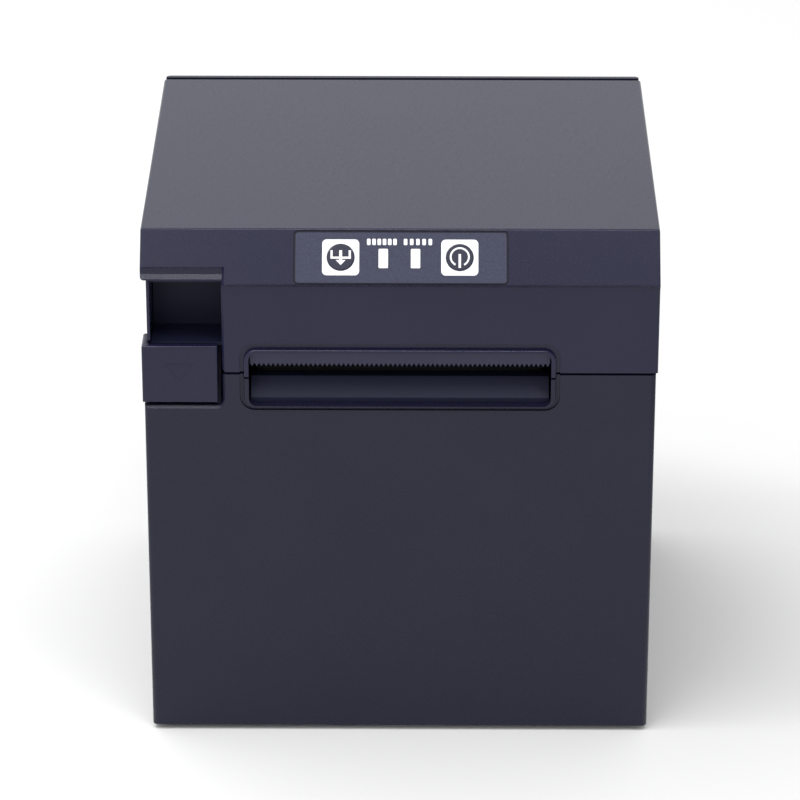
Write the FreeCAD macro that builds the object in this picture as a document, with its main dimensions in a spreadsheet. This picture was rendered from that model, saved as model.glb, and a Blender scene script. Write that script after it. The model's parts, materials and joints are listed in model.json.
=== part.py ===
import FreeCAD, Part
import Sketcher
import os
import re

# Receipt printer with a hinged lid, front paper exit, release lever and two panel keys.
# Millimetres. +Z up, the paper leaves towards -Y, the origin is under the middle of the case.

os.makedirs("parts", exist_ok=True)
doc = FreeCAD.newDocument("ReceiptPrinter")
sheet = doc.addObject("Spreadsheet::Sheet", "Dims")

DIMENSIONS = [
    # case
    ("lid_half", 71.5), ("body_half", 71.0), ("case_high", 152), ("foot_high", 1.5),
    ("wall", 2), ("front_y", -64.7), ("rear_y", 65.5), ("rim_y", 63.9), ("lid_rear_y", 63.1),
    ("strip_y", -65.5), ("strip_low_z", 139.4), ("fold_y", -55.9), ("strip_angle", 52.7),
    ("lid_low_z", 112.6), ("body_top_z", 111.9), ("ramp_y", 5), ("edge_round", 0.7),
    ("rear_round", 1.2), ("edge_bevel", 0.75), ("corner_round", 1.4),
    # lid hinge
    ("hinge_y", 54.1), ("hinge_z", 147.7), ("knuckle", 9), ("pin_rad", 1),
    ("ear_rad", 2.2), ("rib_deep", 3),
    # cooling slots in the rear wall
    ("vent_pitch", 6), ("vent_half", 1), ("vent_low_z", 44), ("vent_top_z", 58),
    # paper exit
    ("slot_half", 41.9), ("slot_low_z", 102.6), ("slot_top_z", 118.7), ("bead", 1.35),
    ("bead_proud", 0.8), ("bead_split_z", 111.2), ("groove_deep", 0.6),
    ("tear_low_z", 114.9), ("tear_y", -63.7), ("tooth_pitch", 1.3), ("tooth_count", 64),
    # finger recess and lever
    ("recess_right", -49.2), ("recess_low_z", 120.8), ("recess_top_z", 139.8),
    ("recess_back_y", -47), ("side_open_y", -55.3), ("lever_right", -50.5),
    ("scallop_y", -36), ("scallop_x", -69.9), ("pocket_low_z", 102.25),
    ("inset_thick", 0.8), ("lever_top_z", 120.35),
    ("lever_low_z", 103.2), ("lever_thick", 1.8), ("lever_pivot_y", -61),
    ("lever_pivot_z", 104.9),
    # paper path
    ("roll_y", 16), ("roll_z", 74), ("bucket_rad", 42), ("bucket_half", 41.2),
    ("bucket_wall", 1.2), ("bucket_top_z", 98),
    ("platen_y", -40), ("platen_z", 113.2), ("platen_rad", 6), ("platen_half", 40),
    ("shaft_rad", 2.5), ("bush_rad", 4), ("cheek_x", 48), ("cheek_thick", 1.2),
    ("idler_y", -34.75), ("idler_z", 99.14), ("pinion_y", -36.9), ("pinion_z", 87.3),
    ("gear_x", 51), ("gear_thick", 3.6), ("platen_gear_rad", 6), ("idler_rad", 9),
    ("pinion_rad", 3), ("motor_rad", 10),
    ("latch_y", -57.5), ("latch_z", 94), ("blade_y", -52), ("blade_thick", 1),
    # electronics
    ("board_z", 11), ("board_thick", 1.6), ("board_half", 59.5),
    # operator panel, measured down the sloping strip from the fold
    ("overlay_left", -29.1), ("overlay_right", 29.6), ("overlay_top", 0.67),
    ("overlay_end", 15.64), ("overlay_thick", 0.25), ("overlay_sunk", 0.15), ("key_left", -16.3),
    ("key_right", 16.4), ("key_down", 8.1), ("key_rad", 3.75), ("lamp_left", -4.6),
    ("lamp_right", 4.25), ("lamp_top", 5.6), ("lamp_end", 11.2), ("lamp_half", 1.35),
]
for row, (alias, value) in enumerate(DIMENSIONS, start=1):
    sheet.set(f"A{row}", alias)
    sheet.set(f"B{row}", str(value))
    sheet.setAlias(f"B{row}", alias)
doc.recompute()

ALIASES = {alias for alias, value in DIMENSIONS}
VALUES = dict(DIMENSIONS)
SUBPARTS = []


def bound(formula):
    """The formula as a FreeCAD expression, with every alias read from the sheet."""
    return re.sub(r"[a-z_]+", lambda word: f"Dims.{word.group(0)}"
                  if word.group(0) in ALIASES else word.group(0), f"0 + ({formula})")


def number(formula):
    """The value of a formula, for the first guess of a sketch point."""
    text = re.sub(r"[a-z_]+", lambda word: str(VALUES[word.group(0)]), f"({formula})")
    total = FreeCAD.Units.Quantity(text.replace("--", "+"))
    return total.Value


def place(item, x="0", y="0", z="0"):
    item.setExpression("Placement.Base.x", bound(x))
    item.setExpression("Placement.Base.y", bound(y))
    item.setExpression("Placement.Base.z", bound(z))


def block(x, y, z):
    """A box between pairs of formulas."""
    item = doc.addObject("Part::Box", "Block")
    for side, (low, high) in zip(("Length", "Width", "Height"), (x, y, z)):
        item.setExpression(side, bound(f"({high}) - ({low})"))
    place(item, x[0], y[0], z[0])
    return item


TURNS = {
    "X": FreeCAD.Rotation(FreeCAD.Vector(0, 1, 0), 90),
    "Y": FreeCAD.Rotation(FreeCAD.Vector(1, 0, 0), -90),
    "Z": FreeCAD.Rotation(),
}


def rod(axis, at, radius, length):
    """A cylinder starting at a point and running along +axis."""
    item = doc.addObject("Part::Cylinder", "Rod")
    item.Placement = FreeCAD.Placement(FreeCAD.Vector(), TURNS[axis])
    item.setExpression("Radius", bound(radius))
    item.setExpression("Height", bound(length))
    place(item, *at)
    return item


PLANES = {"X": "YZ_Plane", "Y": "XZ_Plane", "Z": "XY_Plane"}


def prism(axis, points, low, high):
    """A polygon padded along an axis. Points are pairs of formulas."""
    body = doc.addObject("PartDesign::Body", "Prism")
    sketch = body.newObject("Sketcher::SketchObject", "Outline")
    plane = [item for item in body.Origin.OriginFeatures if item.Role == PLANES[axis]][0]
    sketch.AttachmentSupport = [(plane, "")]
    sketch.MapMode = "FlatFace"
    spots = [FreeCAD.Vector(number(u), number(v), 0) for u, v in points]
    count = len(spots)
    for index in range(count):
        sketch.addGeometry(Part.LineSegment(spots[index], spots[(index + 1) % count]))
    for index in range(count):
        sketch.addConstraint(
            Sketcher.Constraint("Coincident", index, 2, (index + 1) % count, 1))
    for index, pair in enumerate(points):
        for kind, formula, guess in (("DistanceX", pair[0], spots[index].x),
                                     ("DistanceY", pair[1], spots[index].y)):
            row = sketch.addConstraint(Sketcher.Constraint(kind, -1, 1, index, 1, guess))
            sketch.setExpression(f"Constraints[{row}]", bound(formula))
    pad = body.newObject("PartDesign::Pad", "Pad")
    pad.Profile = sketch
    pad.setExpression("Length", bound(f"({high}) - ({low})"))
    # A pad on the XZ plane grows towards -Y, so that one starts at its far end.
    start = {"X": (low, "0", "0"), "Y": ("0", high, "0"), "Z": ("0", "0", low)}[axis]
    place(body, *start)
    return body


def join(*items):
    whole = doc.addObject("Part::MultiFuse", "Join")
    whole.Shapes = list(items)
    whole.Refine = True
    return whole


def cut(base, *tools):
    whole = doc.addObject("Part::Cut", "Cut")
    whole.Base = base
    whole.Tool = tools[0] if len(tools) == 1 else join(*tools)
    return whole


def overlap(first, second):
    whole = doc.addObject("Part::Common", "Overlap")
    whole.Base = first
    whole.Tool = second
    return whole


def rounded(item, radius, wanted):
    """Fillet the edges whose middle point passes the test."""
    doc.recompute()
    size = number(radius)
    chosen = []
    for index, edge in enumerate(item.Shape.Edges, start=1):
        middle = edge.valueAt((edge.FirstParameter + edge.LastParameter) / 2)
        if wanted(middle, edge):
            chosen.append((index, size, size))
    whole = doc.addObject("Part::Fillet", "Rounded")
    whole.Base = item
    whole.Edges = chosen
    doc.recompute()
    return whole


def runs_along(edge, direction):
    if edge.Curve.TypeId != "Part::GeomLine":
        return False
    return abs(edge.Curve.Direction.dot(FreeCAD.Vector(*direction))) > 0.999


def rounded_slab(axis, u, v, span, radius):
    """A rectangle with rounded corners, padded along an axis."""
    if axis == "Y":
        item = block(u, span, v)
        return rounded(item, radius, lambda at, edge: runs_along(edge, (0, 1, 0)))
    item = block(u, v, span)
    return rounded(item, radius, lambda at, edge: runs_along(edge, (0, 0, 1)))


def on_strip(item):
    """Seat something built flat on the sloping strip: Y runs up the strip, Z outwards."""
    turn = FreeCAD.Rotation(FreeCAD.Vector(1, 0, 0), number("strip_angle"))
    item.Placement = FreeCAD.Placement(FreeCAD.Vector(), turn)
    item.setExpression("Placement.Rotation.Angle", bound("strip_angle"))
    place(item, "0", "fold_y", "case_high")
    return item


def subpart(label, item):
    item.Label = label
    SUBPARTS.append(item)
    return item


def screw(label, places, head_rad, head_high, shank_rad, shank_long, up=True):
    """One fastener drawn at each place; heads face down when up is False."""
    pieces = []
    for x, y, z in places:
        slot = block((f"({x}) - 0.3", f"({x}) + 0.3"),
                     (f"({y}) - {head_rad} * 0.6", f"({y}) + {head_rad} * 0.6"),
                     (f"({z}) + {head_high} * 0.5", f"({z}) + {head_high} + 1")
                     if up else (f"({z}) - {head_high} - 1", f"({z}) - {head_high} * 0.5"))
        cross = block((f"({x}) - {head_rad} * 0.6", f"({x}) + {head_rad} * 0.6"),
                      (f"({y}) - 0.3", f"({y}) + 0.3"),
                      (f"({z}) + {head_high} * 0.5", f"({z}) + {head_high} + 1")
                      if up else (f"({z}) - {head_high} - 1", f"({z}) - {head_high} * 0.5"))
        head = rod("Z", (x, y, z if up else f"({z}) - {head_high}"), head_rad, head_high)
        shank = rod("Z", (x, y, f"({z}) - {shank_long}" if up else z), shank_rad, shank_long)
        pieces.append(cut(join(head, shank), slot, cross))
    return subpart(label, join(*pieces) if len(pieces) > 1 else pieces[0])


# ---------------------------------------------------------------- case

def slot_opening(grow, depth_front, depth_back, radius):
    return rounded_slab("Y", (f"-slot_half - {grow}", f"slot_half + {grow}"),
                        (f"slot_low_z - {grow} * 0.45", f"slot_top_z + {grow} * 0.66"),
                        (depth_front, depth_back), radius)


def slot_bead(low, high):
    """The raised ring round the paper exit, between two heights."""
    outer = rounded_slab("Y", ("-slot_half - bead", "slot_half + bead"),
                         ("slot_low_z - 0.7", "slot_top_z + 0.9"),
                         ("front_y - bead_proud", "front_y + wall"), "3.4")
    soft = rounded(outer, "0.6",
                   lambda at, edge: abs(at.y - number("front_y - bead_proud")) < 0.01)
    ring = cut(soft, slot_opening("0", "front_y - 3", "front_y + 5", "2.2"))
    return overlap(ring, block(("-60", "60"), ("front_y - 3", "front_y + 5"), (low, high)))


def slot_groove():
    """The shallow channel in the case that the ring sits in."""
    return rounded_slab("Y", ("-slot_half - 2.5", "slot_half + 2.5"),
                        ("slot_low_z - 1.5", "slot_top_z + 2.6"),
                        ("front_y - 1", "front_y + groove_deep"), "4.2")


def body_shell():
    # The side walls rise to the rear and curve round the hinge knuckle of the lid.
    outline = [("front_y", "foot_high"), ("rear_y", "foot_high"), ("rear_y", "case_high"),
               ("rim_y", "case_high"), ("rim_y", "hinge_z"), ("hinge_y", "hinge_z"),
               ("hinge_y", "hinge_z - knuckle - 0.8"), ("ramp_y", "body_top_z"),
               ("front_y", "body_top_z")]
    solid = prism("X", outline, "-body_half", "body_half")
    soft = rounded(solid, "corner_round", lambda at, edge: runs_along(edge, (0, 0, 1))
                   and abs(abs(at.x) - number("body_half")) < 0.01
                   and (at.y < number("front_y") + 0.1 or at.y > number("rear_y") - 0.1))
    cavity = block(("-body_half + wall", "body_half - wall"), ("front_y + wall", "rim_y"),
                   ("0", "case_high + 1"))
    knuckle = rod("X", ("-body_half - 1", "hinge_y", "hinge_z"), "knuckle + 0.7",
                  "2 * body_half + 2")
    lever_side = block(("-body_half - 1", "-body_half + wall + 1"), ("front_y - 1", "side_open_y"),
                       ("pocket_low_z", "body_top_z + 1"))
    hollow = cut(soft, cavity, knuckle, lever_pocket(), lever_side, slot_groove(),
                 slot_opening("0", "front_y - 3", "front_y + 5", "2.2"), *rear_openings())
    bead = slot_bead("slot_low_z - 2", "bead_split_z - 0.3")
    trim = block(("-slot_half - bead - 0.15", "slot_half + bead + 0.15"),
                 ("front_y - 3", "front_y + wall + 1"), ("bead_split_z - 0.3", "body_top_z + 2"))
    corner = soft_corner("recess_right", "body_top_z", "0.7", -1)
    ears = [hinge_ear(side) for side in (-1, 1)]
    posts = [cut(rod("Z", (x, y, "4.2"), "3.6", "24"), rod("Z", (x, y, "4"), "1.5", "14"))
             for x, y in BASE_SCREWS]
    ribs = []
    for x, y in BASE_SCREWS:
        outward = ("body_half - 5.5", "body_half - 1") if not x.startswith("-") else (
            "-body_half + 1", "-body_half + 5.5")
        ribs.append(block(outward, (f"{y} - 0.8", f"{y} + 0.8"), ("6", "28.2")))
    shell = join(cut(hollow, trim, corner, *rear_vents()), bead, *ears, *posts, *ribs)
    return subpart("body_shell", shell)


def lever_pocket():
    """The notch in the front left corner that the lever sits in, with a bevelled rim."""
    notch = rounded(block(("-body_half - 1", "recess_right"),
                          ("front_y - 1", "front_y + wall + 1"),
                          ("pocket_low_z", "body_top_z + 1")), "1.5", lambda at, edge:
                    runs_along(edge, (0, 1, 0)) and at.x > -60 and at.z < number("lever_low_z"))
    rim = rounded(block(("-body_half - 1", "recess_right + edge_bevel"),
                        ("front_y - 1", "front_y + edge_bevel"),
                        ("pocket_low_z - edge_bevel", "body_top_z + 2")), "2.25", lambda at, edge:
                  runs_along(edge, (0, 1, 0)) and at.x > -60 and at.z < number("lever_low_z"))
    doc.recompute()
    size = number("edge_bevel")
    bevel = doc.addObject("Part::Chamfer", "Bevel")
    bevel.Base = rim
    bevel.Edges = [(index, size, size) for index, edge in enumerate(rim.Shape.Edges, start=1)
                   if is_rim_edge(edge)]
    return join(notch, bevel)


def is_rim_edge(edge):
    middle = edge.valueAt((edge.FirstParameter + edge.LastParameter) / 2)
    inside = abs(middle.y - number("front_y + edge_bevel")) < 0.01
    outer = middle.x < -number("body_half") - 0.5 or middle.z > number("body_top_z") + 1.5
    return inside and not outer


def soft_corner(x, z, radius, side):
    """What to cut from a front wall's corner at x, z to round it. side is 1 where z rises."""
    low, high = (z, f"{z} + {radius}") if side > 0 else (f"{z} - {radius}", z)
    centre_z = high if side > 0 else low
    return cut(block((f"{x} - 0.01", f"{x} + {radius}"), ("front_y - 1", "front_y + wall + 1"),
                     (f"{low} - 0.01" if side > 0 else low, high if side > 0 else f"{high} + 0.01")),
               rod("Y", (f"{x} + {radius}", "front_y - 2", centre_z), radius, "wall + 4"))


def rear_vents():
    """A row of upright cooling slots above the sockets."""
    return [block((f"vent_pitch * {step} - vent_half", f"vent_pitch * {step} + vent_half"),
                  ("rim_y - 1", "rear_y + 1"), ("vent_low_z", "vent_top_z"))
            for step in range(-4, 5)]


def hinge_ear(side):
    """A lug inside each side wall that carries the lid's hinge pin."""
    low, high = ("-body_half + wall - 0.2", "-body_half + wall + 4") if side < 0 else (
        "body_half - wall - 4", "body_half - wall + 0.2")
    # The lug leans forwards, out of the way of the lid's rear skirt as it swings down.
    lug = join(rod("X", (low, "hinge_y", "hinge_z"), "ear_rad", f"({high}) - ({low})"),
               prism("X", [("hinge_y + ear_rad - 0.1", "hinge_z"), ("hinge_y - ear_rad + 0.1", "hinge_z"),
                           ("hinge_y - 11", "hinge_z - 9"), ("hinge_y - 15", "hinge_z - 19"),
                           ("hinge_y - 5.6", "hinge_z - 19"), ("hinge_y - 5.6", "hinge_z - 8"),
                           ("hinge_y - 3", "hinge_z - 5"), ("hinge_y + 0.5", "hinge_z - 3.5")],
                     low, high))
    wall_gap = rod("X", ("-body_half - 1" if side < 0 else "body_half - wall - 0.4",
                         "hinge_y", "hinge_z"), "knuckle + 0.8", "wall + 1.4")
    bore = rod("X", ("-body_half - 2" if side < 0 else "body_half - 8", "hinge_y", "hinge_z"),
               "pin_rad", "10")
    return cut(lug, wall_gap, bore)


REAR_SOCKETS = {
    "power": ("-52", "13.5", "13", "13.6"),
    "usb": ("-31", "12", "13", "11.6"),
    "lan": ("-8", "16", "13", "14.6"),
    "drawer": ("36", "16", "13", "14.6"),
}
BASE_SCREWS = [("-63.5", "-52"), ("63.5", "-52"), ("-63.5", "50"), ("63.5", "50")]
FOOT_SPOTS = [("-50", "-50"), ("50", "-50"), ("-50", "50"), ("50", "50")]


def rear_openings():
    openings = []
    for x, wide, low, high in REAR_SOCKETS.values():
        openings.append(block((f"{x} - {wide} / 2 - 0.4", f"{x} + {wide} / 2 + 0.4"),
                              ("rim_y - 1", "rear_y + 1"),
                              (f"{low} - 0.8", f"{low} + {high} + 0.4")))
    return openings


def lid_shell():
    outline = [("front_y", "lid_low_z"), ("front_y", "strip_low_z - 1.1"),
               ("strip_y", "strip_low_z"), ("fold_y", "case_high"),
               ("lid_rear_y", "case_high"), ("lid_rear_y", "hinge_z"), ("hinge_y", "hinge_z"),
               ("hinge_y", "hinge_z - knuckle"), ("ramp_y", "lid_low_z")]
    solid = prism("X", outline, "-lid_half", "lid_half")
    knuckle = overlap(rod("X", ("-lid_half", "hinge_y", "hinge_z"), "knuckle", "2 * lid_half"),
                      block(("-lid_half - 1", "lid_half + 1"), ("hinge_y - 20", "hinge_y + 20"),
                            ("hinge_z - 20", "hinge_z")))
    whole = join(solid, knuckle)
    rear = rounded(whole, "rear_round", lambda at, edge: runs_along(edge, (1, 0, 0))
                   and at.z > number("case_high") - 0.1 and at.y > 0)
    soft = rounded(rear, "edge_round", is_outer_lid_edge)
    roof = prism("X", [("front_y + wall", "lid_low_z - 9"),
                       ("front_y + wall", "strip_low_z"),
                       ("fold_y + 1", "case_high - wall"),
                       ("lid_rear_y - wall", "case_high - wall"),
                       ("lid_rear_y - wall", "lid_low_z - 9")],
                 "-lid_half + wall", "lid_half - wall")
    # Finger recess at the front left, with the lever below it.
    recess = block(("-lid_half + wall - 1", "recess_right"), ("front_y - 2", "recess_back_y"),
                   ("lid_low_z - 2", "recess_top_z"))
    scallop = block(("-lid_half - 1", "-lid_half + wall + 1"), ("front_y - 2", "scallop_y"),
                    ("lid_low_z - 2", "recess_top_z"))
    corner_bevel = prism("Z", [("recess_right - 0.1", "front_y - 0.1"),
                               ("recess_right + edge_bevel", "front_y - 0.1"),
                               ("recess_right - 0.1", "front_y + edge_bevel")],
                         "lid_low_z - 1", "strip_low_z - 0.9")
    relieved = cut(soft, roof, recess, scallop, under_strip(), corner_bevel, strip_end_bevel(),
                   soft_corner("recess_right", "lid_low_z", "1.2", 1), slot_groove(),
                   slot_opening("0", "front_y - 3", "front_y + 5", "2.2"), strip_pockets())
    # Its front edge leans back so that it clears the lever as the lid swings up.
    inset = prism("X", [("front_y + 4.6", "lid_low_z + 0.3"), ("front_y + 2.4", "recess_low_z"),
                        ("front_y + 2", "recess_low_z + 0.6"), ("front_y + 2", "recess_top_z - 0.5"),
                        ("front_y + 2.8", "recess_top_z + 1"), ("scallop_y + 1.5", "recess_top_z + 1"),
                        ("scallop_y + 1.5", "lid_low_z + 0.3")],
                  "scallop_x", "scallop_x + inset_thick")
    closing = block(("-lid_half + 0.3", "scallop_x + inset_thick"), ("scallop_y", "scallop_y + 1.5"),
                    ("lid_low_z + 0.3", "recess_top_z + 1"))
    bead = slot_bead("bead_split_z + 0.3", "slot_top_z + 3")
    arms = [lid_hinge_arm(side) for side in (-1, 1)]
    shell = join(relieved, recess_lip(), inset, closing, bead, *arms, *lid_ribs())
    strip_corner = soft_corner("-lid_half", "recess_top_z - 0.35", "1.2", 1)
    return subpart("lid_shell", cut(shell, strip_corner))


def lid_ribs():
    """Shallow ribs that stiffen the top of the lid from below."""
    across = [block(("-lid_half + wall - 0.1", "lid_half - wall + 0.1"), (f"{y} - 0.6", f"{y} + 0.6"),
                    ("case_high - wall - rib_deep", "case_high - wall + 0.1"))
              for y in (-16, 0, 16, 32)]
    along = [block((f"{x} - 0.6", f"{x} + 0.6"), ("-16", "32"),
                   ("case_high - wall - rib_deep", "case_high - wall + 0.1"))
             for x in (-40, 0, 40)]
    return [*across, *along]


def is_outer_lid_edge(at, edge):
    """The long visible edges of the lid: the fold and both sides."""
    across = runs_along(edge, (1, 0, 0)) and at.y < number("fold_y") + 1 and (
        at.z > number("case_high") - 0.1)
    beside = abs(abs(at.x) - number("lid_half")) < 0.01 and (
        at.z > number("case_high") - 0.1
        or (at.y < number("fold_y") and at.z > number("strip_low_z"))
        or (runs_along(edge, (0, 0, 1)) and at.y < 0))
    return across or beside


def under_strip():
    """The hollow under the strip's left end, above the finger recess."""
    return prism("X", [("front_y - 3", "recess_top_z - 0.9"), ("front_y + 1.4", "recess_top_z - 0.9"),
                       ("front_y + 1.4", "recess_top_z + 0.1"), ("front_y + 2.5", "recess_top_z + 1.2"),
                       ("front_y + 2.5", "recess_top_z + 3"), ("front_y + 1.8", "recess_top_z + 3.6"),
                       ("front_y - 3", "recess_top_z + 3.6")],
                 "-lid_half - 1", "recess_right + 0.3")


def recess_lip():
    return prism("X", [("front_y + 1.4", "recess_top_z - 0.3"), ("front_y + 1.4", "recess_top_z + 0.1"),
                       ("front_y + 2.5", "recess_top_z + 1.2"), ("front_y + 2.5", "recess_top_z + 2.7"),
                       ("front_y + 4.5", "recess_top_z + 3.1"), ("front_y + 5.1", "recess_top_z - 0.3")],
                 "-lid_half + 0.3", "recess_right + 0.35")


def strip_end_bevel():
    """Takes the edge off the strip where it ends above the finger recess."""
    edge = "recess_right + 0.3"
    return on_strip(join(
        prism("Y", [(f"{edge} - 0.1", "0.1"), (f"{edge} + edge_bevel", "0.1"),
                    (f"{edge} - 0.1", "-edge_bevel")], "-17", "-11"),
        block((f"{edge} - 0.3", f"{edge} - 0.05"), ("-14", "-13"), ("-1", "1"))))


def lid_hinge_arm(side):
    inner = ("-lid_half + 8.6", "-lid_half + 11.6") if side < 0 else (
        "lid_half - 11.6", "lid_half - 8.6")
    web = join(rod("X", (inner[0], "hinge_y", "hinge_z"), "ear_rad", "3"),
               block(inner, ("hinge_y - 12", "hinge_y + ear_rad"), ("hinge_z", "case_high - 1")))
    return cut(web, rod("X", (f"{inner[0]} - 1", "hinge_y", "hinge_z"), "pin_rad", "5"))


def strip_pockets():
    """Overlay recess, key wells and lamp windows, cut square to the strip."""
    seat = rounded_slab("Z", ("overlay_left - 0.2", "overlay_right + 0.2"),
                        ("-overlay_end - 0.2", "-overlay_top + 0.2"),
                        ("-overlay_thick - overlay_sunk", "2"), "1.3")
    wells = [rod("Z", (x, "-key_down", "-5"), "key_rad + 0.25", "8")
             for x in ("key_left", "key_right")]
    lamps = [block((f"{x} - lamp_half - 0.1", f"{x} + lamp_half + 0.1"),
                   ("-lamp_end - 0.1", "-lamp_top + 0.1"), ("-5", "3"))
             for x in ("lamp_left", "lamp_right")]
    return on_strip(join(seat, *wells, *lamps))


def panel_overlay():
    sheet_piece = rounded_slab("Z", ("overlay_left", "overlay_right"),
                               ("-overlay_end", "-overlay_top"),
                               ("-overlay_thick - overlay_sunk", "-overlay_sunk"), "1.1")
    holes = [rod("Z", (x, "-key_down", "-3"), "key_rad + 0.15", "6")
             for x in ("key_left", "key_right")]
    lamps = [block((f"{x} - lamp_half", f"{x} + lamp_half"), ("-lamp_end", "-lamp_top"),
                   ("-3", "3")) for x in ("lamp_left", "lamp_right")]
    return subpart("panel_overlay", on_strip(cut(sheet_piece, *holes, *lamps)))


def panel_key(label, x):
    cap = rounded(rod("Z", (x, "-key_down", "-2"), "key_rad", "2.25"), "0.3",
                  lambda at, edge: at.z > 0.2 and not runs_along(edge, (0, 0, 1)))
    stem = rod("Z", (x, "-key_down", "-3.4"), "1.4", "2")
    return subpart(label, on_strip(join(cap, stem)))


def light_pipe(label, x):
    pipe = rounded_slab("Z", (f"{x} - lamp_half + 0.05", f"{x} + lamp_half - 0.05"),
                        ("-lamp_end + 0.05", "-lamp_top - 0.05"), ("-3.6", "-0.1"), "0.3")
    return subpart(label, on_strip(pipe))


def panel_board():
    board = block(("overlay_left", "overlay_right"), ("-overlay_end + 1.5", "-overlay_top - 1.2"),
                  ("-7.2", "-6"))
    plug = block(("-6", "6"), ("-overlay_end + 2", "-overlay_end + 5"), ("-9.4", "-7.1"))
    return subpart("panel_board", on_strip(join(board, plug)))


def tact_switches():
    pieces = []
    for x in ("key_left", "key_right"):
        can = block((f"{x} - 3", f"{x} + 3"), ("-key_down - 3", "-key_down + 3"), ("-6", "-4.4"))
        button = rod("Z", (x, "-key_down", "-4.4"), "1.2", "0.4")
        pieces.append(join(can, button))
    return subpart("tact_switches", on_strip(join(*pieces)))


def status_lamps():
    pieces = [block((f"{x} - 0.9", f"{x} + 0.9"), ("-key_down - 1.6", "-key_down + 1.6"),
                    ("-6", "-5")) for x in ("lamp_left", "lamp_right")]
    return subpart("status_lamps", on_strip(join(*pieces)))


def base_plate():
    plate = block(("-body_half + wall + 0.3", "body_half - wall - 0.3"),
                  ("front_y + wall + 0.3", "rim_y - 0.3"), ("foot_high", "4"))
    tools = []
    for x, y in FOOT_SPOTS:
        tools.append(rod("Z", (x, y, "0"), "6.1", "2.4"))
    for x, y in BASE_SCREWS:
        tools.append(rod("Z", (x, y, "0"), "1.65", "6"))
        tools.append(rod("Z", (x, y, "0"), "3.4", "2.6"))
    for step in range(9):
        x = f"{-28 + step * 7}"
        tools.append(block((f"{x} - 1.2", f"{x} + 1.2"), ("-26", "-6"), ("0", "6")))
    for x in ("-42", "42"):
        tools.append(rod("Z", (x, "24", "0"), "4.2", "6"))
        tools.append(block((f"{x} - 2.1", f"{x} + 2.1"), ("24", "33"), ("0", "6")))
    posts = [cut(rod("Z", (x, y, "3.5"), "3", "board_z - 3.5"), rod("Z", (x, y, "6"), "1.1", "8"))
             for x, y in BOARD_SCREWS]
    return subpart("base_plate", join(cut(plate, *tools), *posts))


BOARD_SCREWS = [("-56", "-38"), ("56", "-38"), ("-56", "38"), ("56", "38")]


def rubber_feet():
    return subpart("rubber_feet", join(*[
        rounded(rod("Z", (x, y, "0"), "6", "2.4"), "0.5",
                lambda at, edge: at.z < 0.1 and not runs_along(edge, (0, 0, 1)))
        for x, y in FOOT_SPOTS]))


# ---------------------------------------------------------------- paper exit

def tear_bar():
    """A serrated steel strip under the upper lip of the exit."""
    body = doc.addObject("PartDesign::Body", "TearBar")
    plane = [item for item in body.Origin.OriginFeatures if item.Role == "XZ_Plane"][0]

    def outline(name, points):
        sketch = body.newObject("Sketcher::SketchObject", name)
        sketch.AttachmentSupport = [(plane, "")]
        sketch.MapMode = "FlatFace"
        spots = [FreeCAD.Vector(number(u), number(v), 0) for u, v in points]
        for index in range(len(spots)):
            sketch.addGeometry(Part.LineSegment(spots[index], spots[(index + 1) % len(spots)]))
        for index in range(len(spots)):
            sketch.addConstraint(Sketcher.Constraint(
                "Coincident", index, 2, (index + 1) % len(spots), 1))
        for index, pair in enumerate(points):
            for kind, formula, guess in (("DistanceX", pair[0], spots[index].x),
                                         ("DistanceY", pair[1], spots[index].y)):
                row = sketch.addConstraint(Sketcher.Constraint(kind, -1, 1, index, 1, guess))
                sketch.setExpression(f"Constraints[{row}]", bound(formula))
        return sketch

    half = "tooth_pitch * tooth_count / 2"
    blade = body.newObject("PartDesign::Pad", "Blade")
    blade.Profile = outline("BladeOutline", [
        (f"-{half}", "tear_low_z"), (half, "tear_low_z"),
        (half, "slot_top_z - 1.2"), (f"{half} - 0.55", "slot_top_z - 0.5"),
        (f"{half} - 1.5", "slot_top_z - 0.05"), (f"-{half} + 1.5", "slot_top_z - 0.05"),
        (f"-{half} + 0.55", "slot_top_z - 0.5"), (f"-{half}", "slot_top_z - 1.2")])
    blade.Length = 0.8
    tooth = body.newObject("PartDesign::Pad", "Tooth")
    tooth.Profile = outline("ToothOutline", [
        (f"-{half} + 0.1", "tear_low_z + 0.2"), (f"-{half} + 0.1", "tear_low_z"),
        (f"-{half} + tooth_pitch / 2", "tear_low_z - 1"),
        (f"-{half} + tooth_pitch - 0.1", "tear_low_z"),
        (f"-{half} + tooth_pitch - 0.1", "tear_low_z + 0.2")])
    tooth.Length = 0.8
    row = body.newObject("PartDesign::LinearPattern", "TeethRow")
    row.Originals = [tooth]
    row.Direction = (tooth.Profile[0], ["H_Axis"])
    row.setExpression("Length", bound("tooth_pitch * (tooth_count - 1)"))
    row.setExpression("Occurrences", bound("tooth_count"))
    body.Tip = row
    place(body, "0", "tear_y + 0.8", "0")
    return subpart("tear_bar", body)


def exit_guide():
    """The sloping chute below the paper, just inside the exit."""
    outline = [("front_y + wall + 0.3", "slot_low_z - 5"), ("front_y + wall + 0.3", "slot_low_z + 1.4"),
               ("front_y + 6.5", "slot_low_z + 6.2"), ("front_y + 9.9", "slot_low_z + 6.2"),
               ("front_y + 9.9", "slot_low_z - 5")]
    ramp = prism("X", outline, "-slot_half + 0.4", "slot_half - 0.4")
    hollow = block(("-slot_half + 2.5", "slot_half - 2.5"), ("front_y + 4.5", "front_y + 8.6"),
                   ("slot_low_z - 6", "slot_low_z + 2"))
    return subpart("exit_guide", cut(ramp, hollow))


# ---------------------------------------------------------------- finger recess and lever

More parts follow.
